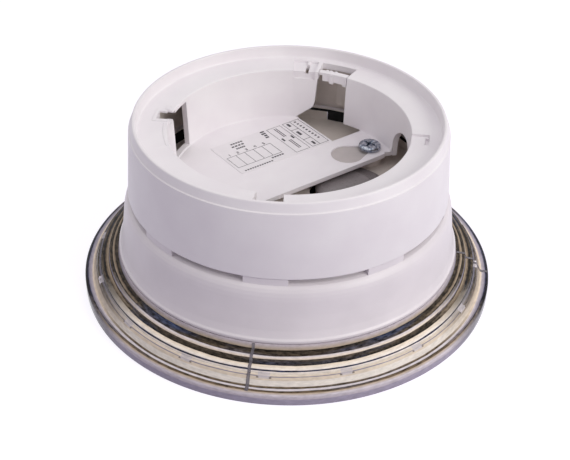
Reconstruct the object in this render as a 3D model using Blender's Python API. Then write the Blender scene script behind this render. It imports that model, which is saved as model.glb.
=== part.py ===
import bpy
import bmesh
import math

for old in list(bpy.data.objects):
    bpy.data.objects.remove(old, do_unlink=True)

# All sizes are in millimetres here and become metres when a mesh is made.
MM = 0.001
SEG = 48
SEAM_A = 2.47

# Clearances
GAP = 0.3
SLIP = 0.3

# Heights, from the foot of the skirt up
SKIRT_Z = 14.8
SKIRT_H = 20.6
GROOVE_H = 2.4
UPPER_H = 27.7
RIM_H = 3.4
SEAT_DEPTH = 4.5
FLOOR_LIFT = 5.8

# Upper housing, from the well outwards: ledge, rim, collar, drafted wall
WELL_R = 42.4
WELL_DRAFT = 0.9
LEDGE_W = 10.6
LEDGE_T = 2.4
RIM_W = 1.2
COLLAR_W = 1.5
WALL_DRAFT = 1.6
WALL_T = 2.4
INNER_T = 2.0

# Half floor in the well
FLOOR_T = 2.3
CHORD_Y = -8.7
CUT_IN = 14.2
CUT_Y = 9.5

# Bayonet notches and windows, in degrees from the line through the two fixing screws
NOTCH_A = 45.0
NOTCH_D = 4.6
DETENT_D = 6.6
MOUTH_D = 1.3
WINDOW_FROM = 21.6
WINDOW_TO = 6.4
SLOPE_H = 5.0
BAR_W = 2.3
BAR_H = 2.6
ARCH_A = -26.7
ARCH_HALF = 9.4
ARCH_SPRING = 3.8
ARCH_RISE = 8.0

# Fixing screws and their keyholes
SCREW_IN = 5.9
SCREW_Y = -2.2
KEY_L = 9.6
KEY_Y = -1.0
KEY_R = 6.2
KEY_D = 0.6
SHANK_R = 1.95
HEAD_R = 4.1
HEAD_H = 1.7
SCREW_L = 11.0

# Lower housing: neck with sound slots, deck, flared skirt
DECK_T = 2.2
NECK_T = 2.0
NECK_H = 5.0
SLOT_N = 8
SLOT_A = -155.0
SLOT_HALF = 14.3
SLOT_H = 4.2
GAUZE_T = 0.4
SKIRT_FLARE = 4.5

# Lens ring: three steps, the band over the LEDs, the flange
LENS_T = 1.7
STEP_DRAFT = 0.49
RISE_1 = 1.98
TREAD_1 = 3.24
FALL_1 = 0.4
RISE_2 = 1.78
TREAD_2 = 2.57
FALL_2 = 0.39
RISE_3 = 1.74
TREAD_3 = 0.99
FALL_3 = 0.19
BAND_W = 1.72
FLANGE_W = 3.11
FLANGE_Z = 4.6
FLANGE_T = 2.0
FOOT_W = 1.8

# Base plate and LED board
PLATE_T = 2.2
HUB_T = 3.2
RIM_DROP = 1.2
ENTRY_R = 9.0
HANG_Y = 27.0
LED_N = 16
LED_A = -177.4
LED_EDGE = 2.9
LED_L = 2.8
LED_W = 3.5
LED_H = 1.1
LED_GAP = 1.0
BOARD_T = 1.6
LEAD_W = 6.0
LEAD_T = 1.0

# Inside
POST_R = 3.5
POST_AT = 44.0
POST_A = 20.0
MAIN_DROP = 9.2
MAIN_EDGE = 3.5
BOARD_IN = 6.1
CHIP_X = -16.0
CHIP_Y = 2.0
CHIP_W = 10.0
CHIP_H = 1.2
CAP_R = 5.0
CAP_H = 12.5
CAP_X = -14.0
CAP_Y = 22.0
CAP_PITCH = 12.0
COIL_X = 22.0
COIL_Y = 18.0
COIL_R = 5.2
COIL_H = 7.0
SOUND_IN = 19.6
SOUND_Y = -13.0
SOUND_R = 15.5
CERAMIC_IN = 6.0
WAY_N = 4
WAY_PITCH = 5.0
TERM_X = -34.0
TERM_Y = -20.0
TERM_D = 8.0
TERM_H = 10.0
LEVER_N = 5
LEVER_PITCH = 2.54
SWITCH_X = -26.0
SWITCH_Y = -26.8
SWITCH_D = 6.4
SWITCH_H = 5.0
LEVER_TRAVEL = 1.4

# Heights and radii that follow from these
deck_z = SKIRT_Z + SKIRT_H
deck_under = deck_z - DECK_T
groove_z = deck_z + GROOVE_H
rim_z = groove_z + UPPER_H
collar_z = rim_z - RIM_H
ledge_z = rim_z - SEAT_DEPTH
ledge_under = ledge_z - LEDGE_T
floor_z = deck_z + FLOOR_LIFT
under_z = floor_z - FLOOR_T
main_z = deck_under - MAIN_DROP
main_top = main_z + BOARD_T
floor_r = WELL_R - WELL_DRAFT
notch_r = WELL_R + NOTCH_D
detent_r = WELL_R + DETENT_D
seat_r = WELL_R + LEDGE_W
rim_r = seat_r + RIM_W
wall_top_r = rim_r + COLLAR_W
groove_r = wall_top_r + WALL_DRAFT
neck_r = groove_r - WALL_T - 0.5
skirt_r = groove_r + SKIRT_FLARE
window_a0 = NOTCH_A - WINDOW_FROM
window_a1 = NOTCH_A - WINDOW_TO
screw_x = floor_r - SCREW_IN
key_x = screw_x - KEY_L
cut_x = floor_r - CUT_IN
sound_x = screw_x - SOUND_IN
hub_r = POST_AT + POST_R
led_in_r = hub_r + LED_GAP
main_r = hub_r + MAIN_EDGE


def circle(cx, cy, r, n, a0=0.0, a1=360.0):
    full = abs(a1 - a0) >= 360.0
    count = n if full else n + 1
    step = math.radians(a1 - a0) / n
    start = math.radians(a0)
    turns = [start + step * k for k in range(count)]
    return [(cx + r * math.cos(t), cy + r * math.sin(t)) for t in turns]


def polar(r, angle):
    return r * math.cos(math.radians(angle)), r * math.sin(math.radians(angle))


def lathe(profile, seg=SEG, cx=0.0, cy=0.0):
    verts = []
    rows = []
    for r, z in profile:
        if r < 1e-6:
            rows.append([len(verts)])
            verts.append((cx, cy, z))
        else:
            rows.append(list(range(len(verts), len(verts) + seg)))
            verts += [(x, y, z) for x, y in circle(cx, cy, r, seg, SEAM_A, SEAM_A + 360)]
    faces = []
    for i, a in enumerate(rows):
        b = rows[(i + 1) % len(rows)]
        if len(a) == 1 and len(b) == 1:
            continue
        for k in range(seg):
            m = (k + 1) % seg
            if len(a) == 1:
                faces.append((a[0], b[m], b[k]))
            elif len(b) == 1:
                faces.append((a[k], a[m], b[0]))
            else:
                faces.append((a[k], a[m], b[m], b[k]))
    return verts, faces


def prism(outline, z0, z1):
    n = len(outline)
    verts = [(x, y, z0) for x, y in outline] + [(x, y, z1) for x, y in outline]
    faces = [tuple(range(n))[::-1], tuple(range(n, 2 * n))]
    faces += [(k, (k + 1) % n, n + (k + 1) % n, n + k) for k in range(n)]
    return verts, faces


def turned(solid, angle, dx=0.0, dy=0.0):
    c = math.cos(math.radians(angle))
    s = math.sin(math.radians(angle))
    verts, faces = solid
    return [(x * c - y * s + dx, x * s + y * c + dy, z) for x, y, z in verts], faces


def along_y(solid):
    # A prism drawn in X and Z, made along Y
    verts, faces = solid
    return [(x, z, y) for x, y, z in verts], faces


def box(x0, x1, y0, y1, z0, z1):
    return prism([(x0, y0), (x1, y0), (x1, y1), (x0, y1)], z0, z1)


def rod(cx, cy, r, z0, z1, n=20):
    return prism(circle(cx, cy, r, n), z0, z1)


def sector(r0, r1, a0, a1, z0, z1, n=6):
    outer = circle(0, 0, r1, n, a0, a1)
    inner = circle(0, 0, r0, n, a0, a1)
    return prism(outer + inner[::-1], z0, z1)


def mesh_object(name, solids, origin=(0.0, 0.0, 0.0)):
    bm = bmesh.new()
    ox, oy, oz = origin
    for verts, faces in solids:
        made = [bm.verts.new(((x - ox) * MM, (y - oy) * MM, (z - oz) * MM)) for x, y, z in verts]
        for f in faces:
            bm.faces.new([made[i] for i in f])
    bmesh.ops.recalc_face_normals(bm, faces=bm.faces)
    me = bpy.data.meshes.new(name)
    bm.to_mesh(me)
    bm.free()
    me.shade_smooth()
    me.set_sharp_from_angle(angle=math.radians(35))
    ob = bpy.data.objects.new(name, me)
    ob.location = [v * MM for v in origin]
    bpy.context.scene.collection.objects.link(ob)
    return ob


def node(name, solids, colour, rough=0.5, metal=0.0, origin=(0.0, 0.0, 0.0)):
    ob = mesh_object(name, solids, origin)
    mat = bpy.data.materials.new(name)
    mat.use_nodes = True
    bsdf = mat.node_tree.nodes["Principled BSDF"]
    bsdf.inputs["Base Color"].default_value = (colour[0], colour[1], colour[2], 1.0)
    bsdf.inputs["Roughness"].default_value = rough
    bsdf.inputs["Metallic"].default_value = metal
    ob.data.materials.append(mat)
    return ob


def nodes(name, solids, colour, rough=0.5, metal=0.0):
    # One numbered node for each copy of a repeated piece
    return [node(name + "_" + str(k + 1), [s], colour, rough, metal) for k, s in enumerate(solids)]


def shape(targets, name, operation, solids):
    tool = mesh_object(name, solids)
    tool.hide_render = True
    tool.display_type = "WIRE"
    for ob in targets:
        ob.data.shade_flat()
        mod = ob.modifiers.new(name, "BOOLEAN")
        mod.operation = operation
        mod.solver = "EXACT"
        mod.object = tool


WHITE = (0.74, 0.72, 0.76)
BLACK = (0.03, 0.03, 0.032)
STEEL = (0.55, 0.57, 0.62)

# Upper housing
upper = node("upper_housing", [lathe([
    (0, floor_z),
    (floor_r, floor_z),
    (WELL_R, ledge_z),
    (seat_r, ledge_z),
    (seat_r + 0.2, rim_z - 0.5),
    (seat_r + 0.5, rim_z),
    (rim_r, rim_z),
    (rim_r + 0.3, rim_z - 0.3),
    (wall_top_r - 0.35, collar_z + 0.1),
    (wall_top_r - 0.1, collar_z),
    (wall_top_r + 0.05, collar_z - 0.6),
    (groove_r - 0.1, groove_z + 0.5),
    (groove_r - 0.35, groove_z),
    (groove_r - WALL_T, groove_z),
    (wall_top_r - WALL_T, ledge_under),
    (WELL_R + INNER_T, ledge_under),
    (floor_r + INNER_T, under_z),
    (0, under_z),
])], WHITE, 0.42)

in_r = floor_r - 1
out_r = WELL_R + INNER_T + 1
sill = floor_z + 0.4
cut_r = floor_r + 0.5
chord_end = math.degrees(math.asin(CHORD_Y / cut_r))
segment = circle(0, 0, cut_r, 28, 180 - chord_end, 360 + chord_end)
corner_a = math.degrees(math.asin(CUT_Y / out_r))
corner_b = math.degrees(math.acos(cut_x / out_r))
back_cut = [(cut_x, CUT_Y)] + circle(0, 0, out_r, 8, corner_a, corner_b)
slot_half = SHANK_R + SLIP
slot_dir = math.degrees(math.atan2(SCREW_Y - KEY_Y, screw_x - key_x))
slot_len = math.hypot(screw_x - key_x, SCREW_Y - KEY_Y)
mouth = math.degrees(math.asin(slot_half / KEY_R))
keyhole = circle(0, 0, KEY_R, 24, mouth, 360 - mouth) + circle(slot_len, 0, slot_half, 8, -90, 90)
floor_cuts = [prism(segment, under_z - 1, floor_z + 1), prism(back_cut, under_z - 1, sill)]
spots = [(screw_x, SCREW_Y), (-screw_x, -SCREW_Y)]
for half_turn in (0, 180):
    pocket = turned(prism(keyhole, floor_z - KEY_D, floor_z + 1), slot_dir, key_x, KEY_Y)
    floor_cuts.append(turned(pocket, half_turn))
shape([upper], "cut_floor", "DIFFERENCE", floor_cuts)
shanks = [rod(x, y, slot_half - 0.1, under_z - 1, floor_z + 1, 16) for x, y in spots]
shape([upper], "cut_shanks", "DIFFERENCE", shanks)

# The window by the detent bar is open below, with a sloped edge on one side
windows = [sector(in_r, out_r, window_a0, window_a1, under_z - 1.5, ledge_under - 0.4)]
for turn in (90, 180, 270):
    from_a = window_a0 + turn + 2.5
    to_a = window_a1 + turn + 5.0
    windows.append(sector(in_r, out_r, from_a, to_a, sill, ledge_under - 0.1))
slope = [(-4.0, floor_z + 0.2), (5.0, floor_z + 0.2), (5.0, floor_z + SLOPE_H)]
mouths = [sector(in_r, WELL_R + MOUTH_D, window_a0 + 92.5, window_a1 + 95, ledge_under - 1, ledge_z + 1)]
slit = sector(WELL_R + 1.2, notch_r - 1, NOTCH_A - 0.8, NOTCH_A + 0.8, ledge_under - 1, ledge_z + 1, 2)
shape([upper], "cut_windows", "DIFFERENCE", windows + [slit])
sloped = turned(along_y(prism(slope, in_r, out_r + 0.4)), window_a1 + 5.4 - 90)
shape([upper], "cut_slope", "DIFFERENCE", [sloped])

spring = floor_z + ARCH_SPRING
arch_top = [(ARCH_HALF * x, spring + ARCH_RISE * y) for x, y in circle(0, 0, 1, 12, 0, 180)]
arch_plan = [(-ARCH_HALF, under_z - 1), (ARCH_HALF, under_z - 1)] + arch_top
arch = turned(along_y(prism(arch_plan, in_r - 3, out_r)), ARCH_A - 90)
notch_lo = ledge_under - 1
notch_hi = ledge_z + 1
notches = [
    sector(in_r, detent_r, window_a0 - 0.6, window_a1 + 0.6, ledge_under - 1.2, notch_hi),
    sector(in_r, detent_r, NOTCH_A - 4.4, NOTCH_A + 6.4, ledge_z - 0.8, notch_hi),
    sector(in_r, notch_r, NOTCH_A + 90 - 3.3, NOTCH_A + 90 + 3.3, notch_lo, notch_hi, 3),
    sector(in_r, notch_r, NOTCH_A + 180 - 5.6, NOTCH_A + 180 + 6.4, notch_lo, notch_hi),
    sector(in_r, notch_r + 0.6, NOTCH_A + 270 - 3.7, NOTCH_A + 270 + 3.7, ledge_z - 0.9, notch_hi, 3),
]
shape([upper], "cut_notches", "DIFFERENCE", notches + [arch])
shape([upper], "cut_mouths", "DIFFERENCE", mouths)

# Detent bar: bends out into the slot behind it, with two bumps on its top and a lip below
bar_mid = (window_a0 + window_a1) / 2
bar_in = WELL_R + 0.1
bar_out = bar_in + BAR_W
half_bar = bar_out * math.sin(math.radians((window_a1 - window_a0) / 2)) + 0.1
bar_plan = [(bar_in, -half_bar), (bar_out, -half_bar), (bar_out, half_bar), (bar_in, half_bar)]
bump = half_bar * 0.34
nose = bar_in - 0.7
bar_plan += [(bar_in, bump + 1.4), (nose, bump + 0.6), (nose, -bump - 0.6), (bar_in, -bump - 1.4)]
bar = turned(prism(bar_plan, ledge_z - BAR_H, ledge_z - 0.2), bar_mid)
bar_at = turned(([(bar_in + BAR_W / 2, 0, ledge_z - BAR_H / 2)], []), bar_mid)[0][0]
node("detent_bar", [bar], WHITE, 0.42, 0.0, bar_at)

# Settings label on the floor
label_z = floor_z + GAP
label = [(-12.5, CUT_Y + 0.1), (cut_x - 1.0, CUT_Y + 0.1), (cut_x - 1.0, 30.4), (-12.5, 30.4)]
node("settings_label", [prism(label, label_z, label_z + 0.2)], (0.8, 0.79, 0.8), 0.35)

# Fixing screws: pan heads with a cross recess
head_z = floor_z + GAP
pan = [
    (0, head_z + HEAD_H),
    (HEAD_R * 0.55, head_z + HEAD_H * 0.94),
    (HEAD_R * 0.88, head_z + HEAD_H * 0.66),
    (HEAD_R, head_z + HEAD_H * 0.3),
    (HEAD_R, head_z),
    (SHANK_R, head_z),
    (SHANK_R, head_z - SCREW_L + 0.8),
    (SHANK_R - 0.8, head_z - SCREW_L),
    (0, head_z - SCREW_L),
]
cross = [(-2.3, -0.45), (-0.45, -0.45), (-0.45, -2.3), (0.45, -2.3), (0.45, -0.45), (2.3, -0.45)]
cross += [(-x, -y) for x, y in cross]
screws = nodes("fixing_screw", [lathe(pan, 20, x, y) for x, y in spots], STEEL, 0.3, 1.0)
recess = prism(cross, head_z + HEAD_H * 0.3, head_z + HEAD_H + 1)
shape(screws, "cut_cross", "DIFFERENCE", [turned(recess, 20, x, y) for x, y in spots])

# Lower housing
skirt = node("lower_housing", [lathe([
    (0, deck_z),
    (neck_r - NECK_T, deck_z),
    (neck_r - NECK_T, deck_z + NECK_H),
    (neck_r, deck_z + NECK_H),
    (neck_r, deck_z + 0.1),
    (groove_r - 1.6, deck_z),
    (groove_r - 0.5, deck_z - 0.5),
    (groove_r + 0.5, deck_z - 1.6),
    (groove_r + 1.15, deck_z - 3.2),
    (groove_r + 1.6, deck_z - 5.5),
    (groove_r + 2.4, deck_z - 10.5),
    (skirt_r - 1.25, SKIRT_Z + 4.4),
    (skirt_r - 0.55, SKIRT_Z + 1.6),
    (skirt_r, SKIRT_Z + 1.1),
    (skirt_r, SKIRT_Z),
    (skirt_r - WALL_T, SKIRT_Z),
    (skirt_r - WALL_T - 1.6, SKIRT_Z + 6),
    (groove_r - 0.9, deck_z - 5.5),
    (groove_r - 3.2, deck_under - 0.4),
    (neck_r - NECK_T - 2, deck_under),
    (0, deck_under),
])], WHITE, 0.42)
post_at = [polar(POST_AT, POST_A + q) for q in (0, 120, 240)]
board_at = [polar(main_r - BOARD_IN, a) for a in (-32.3, 80.5, 160)]
post_z = HUB_T + GAP
screw_tip = head_z - SCREW_L
bosses = [rod(x, y, POST_R, post_z, deck_under + 1, 16) for x, y in post_at]
bosses += [rod(x, y, POST_R - 0.5, main_top + GAP, deck_under + 1, 16) for x, y in board_at]
bosses += [rod(x, y, SHANK_R + 2.6, screw_tip - 1.4, under_z - GAP, 20) for x, y in spots]
shape([skirt], "add_bosses", "UNION", bosses)
term_x1 = TERM_X + WAY_N * WAY_PITCH
deck_y0 = SWITCH_Y - SWITCH_D / 2 - 2
deck_y1 = TERM_Y + TERM_D + 1.2
holes = [box(TERM_X - 2, term_x1 + 2, deck_y0, deck_y1, deck_under - 1, deck_z + 1)]
holes += [rod(sound_x, SOUND_Y, SOUND_R - 2.5, deck_under - 1, deck_z + 1, 32)]
holes += [rod(x, y, SHANK_R + SLIP, screw_tip - SLIP, under_z + 1, 16) for x, y in spots]
holes += [rod(x, y, 1.8, post_z - 1, post_z + 11, 12) for x, y in post_at]
holes += [rod(x, y, 1.5, main_top - 1, main_top + 6.5, 12) for x, y in board_at]
shape([skirt], "cut_deck", "DIFFERENCE", holes)
slots = []
for k in range(SLOT_N):
    mid = SLOT_A + 360.0 * k / SLOT_N
    slots.append(sector(neck_r - NECK_T - 1, neck_r + 0.6, mid - SLOT_HALF, mid + SLOT_HALF,
                        deck_z + 0.2, deck_z + SLOT_H))
shape([skirt], "cut_slots", "DIFFERENCE", slots)

# Gauze behind the sound slots: one band with a tall patch at each slot
gauze_r = neck_r - NECK_T - GAP
gauze_z = deck_z + GAP
gauze_top = deck_z + SLOT_H + 0.4
gauze = node("sound_gauze", [lathe([
    (gauze_r - GAUZE_T, gauze_z),
    (gauze_r, gauze_z),
    (gauze_r, gauze_top),
    (gauze_r - GAUZE_T, gauze_top),
])], BLACK, 0.9)
dips = []
for k in range(SLOT_N):
    start = SLOT_A + 360.0 * k / SLOT_N + SLOT_HALF + 0.8
    end = start + 360.0 / SLOT_N - 2 * SLOT_HALF - 1.6
    dips.append(sector(gauze_r - 1, gauze_r + 1, start, end, gauze_z + 0.8, gauze_top + 1, 3))
shape([gauze], "cut_gauze", "DIFFERENCE", dips)

# Lens ring: stepped clear shell with a flange
top = SKIRT_Z - GAP
out = [(skirt_r + 0.1, top)]
for rise, tread, fall in ((RISE_1, TREAD_1, FALL_1), (RISE_2, TREAD_2, FALL_2), (RISE_3, TREAD_3, FALL_3)):
    r, z = out[-1]
    out.append((r + STEP_DRAFT, z - rise))
    out.append((r + STEP_DRAFT + tread, z - rise - fall))
band_r = out[-1][0] + BAND_W
out.append((band_r, FLANGE_Z + 0.25))
out.append((band_r + 0.73, FLANGE_Z + 0.05))
lens_r = band_r + FLANGE_W
inside = [(r - LENS_T, z - LENS_T) for r, z in out[1:8]]
lens_foot = lens_r - FOOT_W
flange_under = FLANGE_Z - FLANGE_T
lens = out + [
    (lens_r - 0.8, FLANGE_Z),
    (lens_r - 0.2, FLANGE_Z - 0.3),
    (lens_r, FLANGE_Z - 0.9),
    (lens_r, 0),
    (lens_foot, 0),
    (lens_foot, flange_under),
    (inside[-1][0] + 0.4, flange_under),
] + inside[::-1] + [(skirt_r - WALL_T + 0.4, top - 1.6), (skirt_r - WALL_T + 0.4, top)]
node("lens_ring", [lathe(lens)], (0.8, 0.82, 0.86), 0.06)

# Gasket, base plate with keyholes and cable entry, grommet, screws
rim_top = flange_under - RIM_DROP
rim_in = inside[-1][0] + 0.6
gasket = [(rim_in, rim_top + GAP), (lens_foot - 0.6, rim_top + GAP)]
gasket += [(lens_foot - 0.6, flange_under - GAP), (rim_in, flange_under - GAP)]
node("lens_gasket", [lathe(gasket, 48)], BLACK, 0.8)
plate = node("base_plate", [lathe([
    (0, 0),
    (lens_foot - GAP, 0),
    (lens_foot - GAP, rim_top),
    (rim_in - 0.4, rim_top),
    (rim_in - 0.4, PLATE_T),
    (hub_r, PLATE_T),
    (hub_r, HUB_T),
    (0, HUB_T),
], 48)], (0.16, 0.16, 0.17), 0.6)
key2 = 2.3
mouth2 = math.degrees(math.asin(key2 / 4.6))
hang = circle(-5, 0, 4.6, 20, mouth2, 360 - mouth2) + circle(7, 0, key2, 8, -90, 90)
plate_cuts = [rod(0, 0, ENTRY_R, -1, HUB_T + 1, 32)]
plate_cuts += [turned(prism(hang, -1, HUB_T + 1), 0, 0, y) for y in (-HANG_Y, HANG_Y)]
plate_cuts += [rod(x, y, 1.8, -1, HUB_T + 1, 16) for x, y in post_at]
shape([plate], "cut_plate", "DIFFERENCE", plate_cuts)
lip_z = 1.3
counter = [rod(0, 0, ENTRY_R + 2.6, -1, lip_z, 32)]
counter += [rod(x, y, 3.2, -1, 1.9, 20) for x, y in post_at]
shape([plate], "cut_counterbores", "DIFFERENCE", counter)
node("cable_grommet", [lathe([
    (5.0, 0.2),
    (ENTRY_R + 2.2, 0.2),
    (ENTRY_R + 2.2, lip_z - GAP),
    (ENTRY_R - GAP, lip_z - GAP),
    (ENTRY_R - GAP, HUB_T + GAP),
    (ENTRY_R + 2.2, HUB_T + GAP),
    (ENTRY_R + 1.6, HUB_T + 1.6),
    (6.2, HUB_T + 2.0),
    (5.0, HUB_T + 1.2),
], 24)], BLACK, 0.75)
base_screw = [(0, 0.3), (2.8, 0.3), (2.8, 1.6), (1.5, 1.6), (1.5, post_z + 9), (0, post_z + 9.8)]
nodes("base_screw", [lathe(base_screw, 12, x, y) for x, y in post_at], STEEL, 0.35, 1.0)

# LED board and LEDs
led_z = PLATE_T + GAP
led_out = inside[-1][0] - 1.0
led_ring = [(led_in_r, led_z), (led_out, led_z), (led_out, led_z + BOARD_T), (led_in_r, led_z + BOARD_T)]
node("led_board", [lathe(led_ring)], (0.72, 0.64, 0.5), 0.5)
led_mid = led_out - LED_EDGE
chip_z = led_z + BOARD_T + GAP
chip = box(led_mid - LED_L / 2, led_mid + LED_L / 2, -LED_W / 2, LED_W / 2, chip_z, chip_z + LED_H)
nodes("led", [turned(chip, LED_A + 360.0 * k / LED_N) for k in range(LED_N)], (0.85, 0.82, 0.7), 0.3)
lead_r = (led_in_r + main_r) / 2
lead = box(lead_r - LEAD_T / 2, lead_r + LEAD_T / 2, -LEAD_W / 2, LEAD_W / 2, chip_z, main_z - GAP)
node("led_lead", [turned(lead, 170)], (0.45, 0.44, 0.43), 0.5)

# Main board with its screws and larger components
main = node("main_board", [rod(0, 0, main_r, main_z, main_top, SEG)], (0.05, 0.22, 0.1), 0.4)
board_holes = [rod(x, y, POST_R + SLIP + 0.2, main_z - 1, main_top + 1, 20) for x, y in post_at]
board_holes += [rod(x, y, 1.5, main_z - 1, main_top + 1, 12) for x, y in board_at]
shape([main], "cut_board", "DIFFERENCE", board_holes)
board_screw = [(0, main_z - 1.8), (2.4, main_z - 1.8), (2.4, main_z - GAP), (1.2, main_z - GAP)]
board_screw += [(1.2, main_top + 5), (0, main_top + 5.6)]
nodes("board_screw", [lathe(board_screw, 12, x, y) for x, y in board_at], STEEL, 0.35, 1.0)
half = CHIP_W / 2
micro_z = main_top + GAP
micro = box(CHIP_X - half, CHIP_X + half, CHIP_Y - half, CHIP_Y + half, micro_z, micro_z + CHIP_H)
node("microcontroller", [micro], (0.03, 0.03, 0.03), 0.5)
caps = [rod(CAP_X + CAP_PITCH * k, CAP_Y, CAP_R, main_z - GAP - CAP_H, main_z - GAP, 20) for k in (0, 1)]
nodes("storage_capacitor", caps, (0.05, 0.06, 0.12), 0.4)
coil_z = main_z - COIL_H
coil_waist = COIL_R - 1.0
coil = [(1.6, coil_z), (COIL_R, coil_z), (COIL_R, coil_z + 1.2), (coil_waist, coil_z + 1.6)]
coil += [(coil_waist, main_z - 2), (COIL_R, main_z - 1.6), (COIL_R, main_z - GAP), (1.6, main_z - GAP)]
node("inductor", [lathe(coil, 16, COIL_X, COIL_Y)], (0.08, 0.07, 0.07), 0.5)

# Sounder: cover on the deck, cup below it, sounding disc between
node("sounder_cover", [lathe([
    (0, under_z - 0.6),
    (SOUND_R * 0.58, under_z - 0.6),
    (SOUND_R * 0.66, under_z - 1.0),
    (SOUND_R * 0.7, deck_z + 1.9),
    (SOUND_R * 0.93, deck_z + 1.6),
    (SOUND_R, deck_z + 0.9),
    (SOUND_R, deck_z + GAP),
    (SOUND_R * 0.64, deck_z + GAP),
    (SOUND_R * 0.56, under_z - 1.6),
    (0, under_z - 1.6),
], 30, sound_x, SOUND_Y)], (0.5, 0.49, 0.5), 0.45)
cup_z = main_top + 1.0
cup_top = deck_under - GAP
cup_r = SOUND_R - 1.0
disc_z = (cup_z + cup_top) / 2
node("sounder_body", [lathe([
    (0, cup_z),
    (cup_r, cup_z),
    (cup_r, cup_top),
    (cup_r - 1.4, cup_top),
    (cup_r - 1.4, disc_z),
    (cup_r - 3.0, disc_z),
    (cup_r - 3.0, cup_z + 1.2),
    (0, cup_z + 1.2),
], 30, sound_x, SOUND_Y)], (0.06, 0.06, 0.065), 0.5)
node("sounding_disc", [rod(sound_x, SOUND_Y, cup_r - 1.7, disc_z + GAP, disc_z + GAP + 0.3, 40)],
     (0.75, 0.58, 0.25), 0.3, 1.0)
ceramic_z = disc_z + 2 * GAP + 0.3
ceramic = rod(sound_x, SOUND_Y, SOUND_R - CERAMIC_IN, ceramic_z, ceramic_z + 0.3, 28)
node("sounder_ceramic", [ceramic], (0.75, 0.74, 0.7), 0.6)

# Terminal block with wire clamps and screws
ways = [TERM_X + WAY_PITCH * (k + 0.5) for k in range(WAY_N)]
term_z = main_top + GAP
term_top = term_z + TERM_H
screw_y = TERM_Y + TERM_D * 0.45
well_r = 1.9
block = node("terminal_block", [box(TERM_X, term_x1, TERM_Y, TERM_Y + TERM_D, term_z, term_top)],
             (0.03, 0.16, 0.09), 0.45)
screw_wells = [rod(x, screw_y, well_r, term_z + 4.2, term_top + 1, 14) for x in ways]
shape([block], "cut_screw_wells", "DIFFERENCE", screw_wells)
entries = [box(x - 1.7, x + 1.7, TERM_Y - 1, TERM_Y + 6.4, term_z + 1.2, term_z + 4.7) for x in ways]
shape([block], "cut_wire_entries", "DIFFERENCE", entries)
yoke = [(-1.4, 1.5), (1.4, 1.5), (1.4, 4.4), (0.9, 4.4), (0.9, 2.0), (-0.9, 2.0), (-0.9, 4.4), (-1.4, 4.4)]
clamps = [along_y(prism([(x + a, term_z + b) for a, b in yoke], TERM_Y + 1.6, TERM_Y + 5.6)) for x in ways]
nodes("wire_clamp", clamps, (0.7, 0.66, 0.55), 0.35, 1.0)
pin_r = well_r - SLIP
terms = [rod(x, screw_y, pin_r, term_z + 4.7, term_top - 1.2, 14) for x in ways]
term_screws = nodes("terminal_screw", terms, STEEL, 0.35, 1.0)
blade = box(-2, 2, -0.3, 0.3, term_top - 2.2, term_top)
blades = [turned(blade, 30 + 25 * k, x, screw_y) for k, x in enumerate(ways)]
shape(term_screws, "cut_blade_slots", "DIFFERENCE", blades)

# Tone switch with sliding levers
sw_z = main_top + GAP
sw_top = sw_z + SWITCH_H
sw_y0 = SWITCH_Y - SWITCH_D / 2
sw_y1 = SWITCH_Y + SWITCH_D / 2
sw_half = LEVER_PITCH * LEVER_N / 2 + 0.8
lever_w = 1.2
lever_l = 1.2
slide_l = lever_l + LEVER_TRAVEL + 2 * SLIP
lever_x = [SWITCH_X + LEVER_PITCH * (k - (LEVER_N - 1) / 2) for k in range(LEVER_N)]
body = node("tone_switch_body", [box(SWITCH_X - sw_half, SWITCH_X + sw_half, sw_y0, sw_y1, sw_z, sw_top)],
            (0.45, 0.05, 0.05), 0.45)
tracks = [box(x - lever_w / 2 - SLIP, x + lever_w / 2 + SLIP, SWITCH_Y - slide_l / 2, SWITCH_Y + slide_l / 2,
              sw_top - 1.8, sw_top + 1) for x in lever_x]
shape([body], "cut_tracks", "DIFFERENCE", tracks)
for k, x in enumerate(lever_x):
    y0 = SWITCH_Y - slide_l / 2 + SLIP
    at = (x, y0 + lever_l / 2, sw_top)
    lever = box(x - lever_w / 2, x + lever_w / 2, y0, y0 + lever_l, sw_top - 1.8 + SLIP, sw_top + 0.8)
    node("tone_lever_" + str(k + 1), [lever], (0.85, 0.85, 0.84), 0.4, 0.0, at)
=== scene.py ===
import math

import bmesh
import bpy
from mathutils import Matrix, Vector


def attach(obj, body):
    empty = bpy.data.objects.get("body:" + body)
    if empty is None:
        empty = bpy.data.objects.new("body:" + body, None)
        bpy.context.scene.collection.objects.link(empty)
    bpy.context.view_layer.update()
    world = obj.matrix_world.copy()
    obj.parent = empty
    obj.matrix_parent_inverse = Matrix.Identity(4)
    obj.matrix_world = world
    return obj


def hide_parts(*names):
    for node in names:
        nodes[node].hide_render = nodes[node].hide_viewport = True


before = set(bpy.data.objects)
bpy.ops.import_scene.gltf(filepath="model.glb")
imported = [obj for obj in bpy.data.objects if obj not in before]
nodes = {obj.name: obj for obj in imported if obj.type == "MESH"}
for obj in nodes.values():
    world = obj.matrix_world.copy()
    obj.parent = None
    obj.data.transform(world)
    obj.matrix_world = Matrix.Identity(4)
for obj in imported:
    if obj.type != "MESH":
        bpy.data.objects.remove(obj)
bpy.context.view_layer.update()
mm = 0.001


def hexToLinear(code):
    parts = [int(code[i:i + 2], 16) / 255 for i in (1, 3, 5)]
    linear = [c / 12.92 if c <= 0.04045 else ((c + 0.055) / 1.055) ** 2.4 for c in parts]
    return (linear[0], linear[1], linear[2], 1.0)


# A node or a socket among the values is linked; any other value is set on the node or on its socket
def addNode(tree, kind, values=None):
    made = tree.nodes.new(kind)
    for key, value in (values or {}).items():
        if isinstance(value, bpy.types.Node):
            value = value.outputs[0]
        if isinstance(value, bpy.types.NodeSocket):
            tree.links.new(value, made.inputs[key])
        elif isinstance(key, str) and hasattr(made, key):
            setattr(made, key, value)
        else:
            made.inputs[key].default_value = value
    return made


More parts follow.
